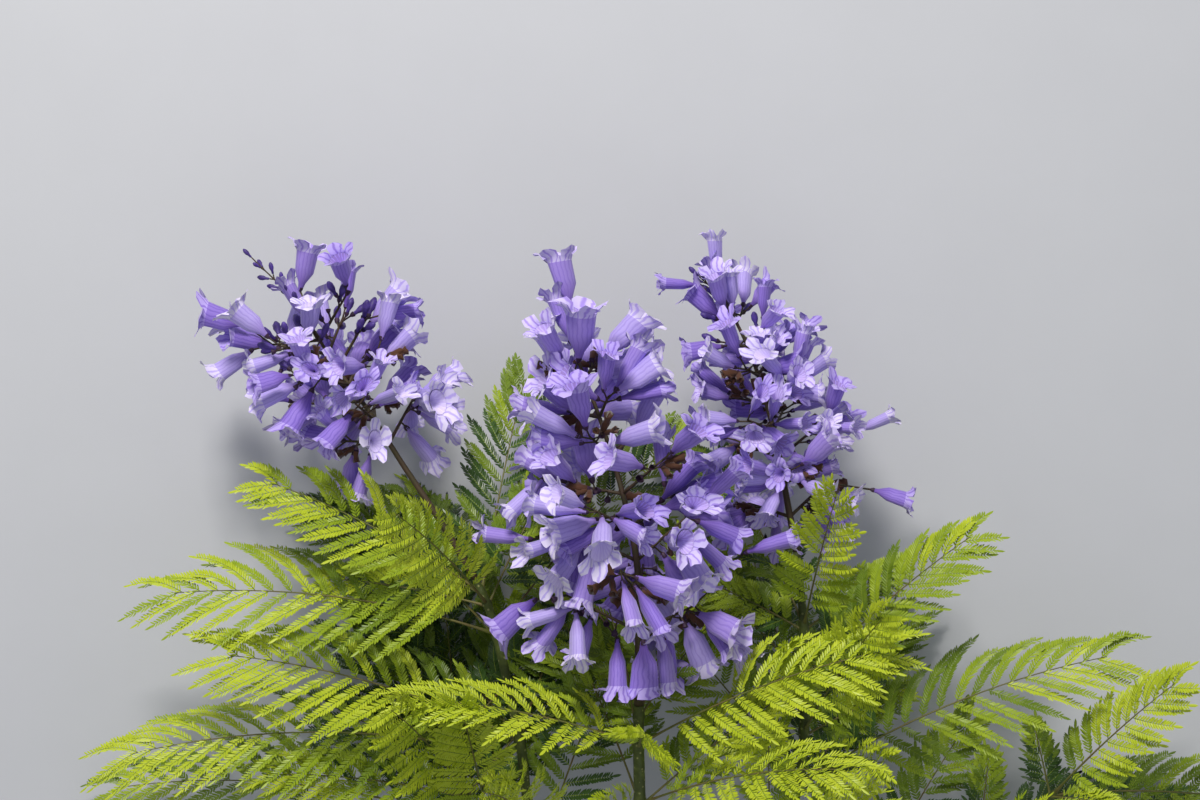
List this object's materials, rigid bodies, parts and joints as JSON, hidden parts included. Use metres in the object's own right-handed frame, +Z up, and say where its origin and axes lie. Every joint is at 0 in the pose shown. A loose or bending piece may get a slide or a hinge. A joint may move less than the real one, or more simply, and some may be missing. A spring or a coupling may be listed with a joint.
{
  "type": "flowering jacaranda branch",
  "caption": "Cut jacaranda branch lying on its back, with violet bell flowers in panicles and fern-like leaves in pairs",
  "frame": {"origin": "middle of the bounding box seen from above, at the level of the ground that the branch lies on", "axes": "X across the branch, Y from the cut foot towards the flowers, Z up from the ground"},
  "size_m": [0.9475, 0.6892, 0.3056],
  "materials": {
    "bark": "grey-brown bark with raised pores",
    "green_stem": "smooth olive green young shoot",
    "petal": "soft lavender violet petals",
    "leaf": "thin yellow-green leaflets, satin"
  },
  "bodies": {
    "root": {"leaf_shoot_centre_1a": "leaf", "leaf_shoot_centre_1b": "leaf", "leaf_shoot_centre_2a": "leaf", "leaf_shoot_centre_2b": "leaf", "leaf_shoot_centre_3a": "leaf", "leaf_shoot_centre_3b": "leaf", "leaf_shoot_left_1a": "leaf", "leaf_shoot_left_1b": "leaf", "leaf_shoot_left_2a": "leaf", "leaf_shoot_left_2b": "leaf", "leaf_shoot_left_3a": "leaf", "leaf_shoot_left_3b": "leaf", "leaf_shoot_left_4a": "leaf", "leaf_shoot_left_4b": "leaf", "leaf_shoot_left_5a": "leaf", "leaf_shoot_left_5b": "leaf", "leaf_shoot_right_1a": "leaf", "leaf_shoot_right_1b": "leaf", "leaf_shoot_right_2a": "leaf", "leaf_shoot_right_2b": "leaf", "leaf_shoot_right_3a": "leaf", "leaf_shoot_right_3b": "leaf", "leaf_shoot_right_4a": "leaf", "leaf_shoot_right_4b": "leaf", "leaf_shoot_right_5a": "leaf", "leaf_shoot_right_5b": "leaf", "leaf_side_shoot_left_1a": "leaf", "leaf_side_shoot_left_1b": "leaf", "leaf_side_shoot_left_2a": "leaf", "leaf_side_shoot_left_2b": "leaf", "leaf_side_shoot_left_3a": "leaf", "leaf_side_shoot_left_3b": "leaf", "leaf_side_shoot_right_1a": "leaf", "leaf_side_shoot_right_1b": "leaf", "leaf_side_shoot_right_2a": "leaf", "leaf_side_shoot_right_2b": "leaf", "leaf_side_shoot_right_3a": "leaf", "leaf_side_shoot_right_3b": "leaf", "main_branch": "bark", "panicle_centre": "petal", "panicle_left": "petal", "panicle_right": "petal", "shoot_centre": "green_stem", "shoot_left": "green_stem", "shoot_right": "green_stem", "side_shoot_left": "green_stem", "side_shoot_right": "green_stem"}
  },
  "joints": []
}
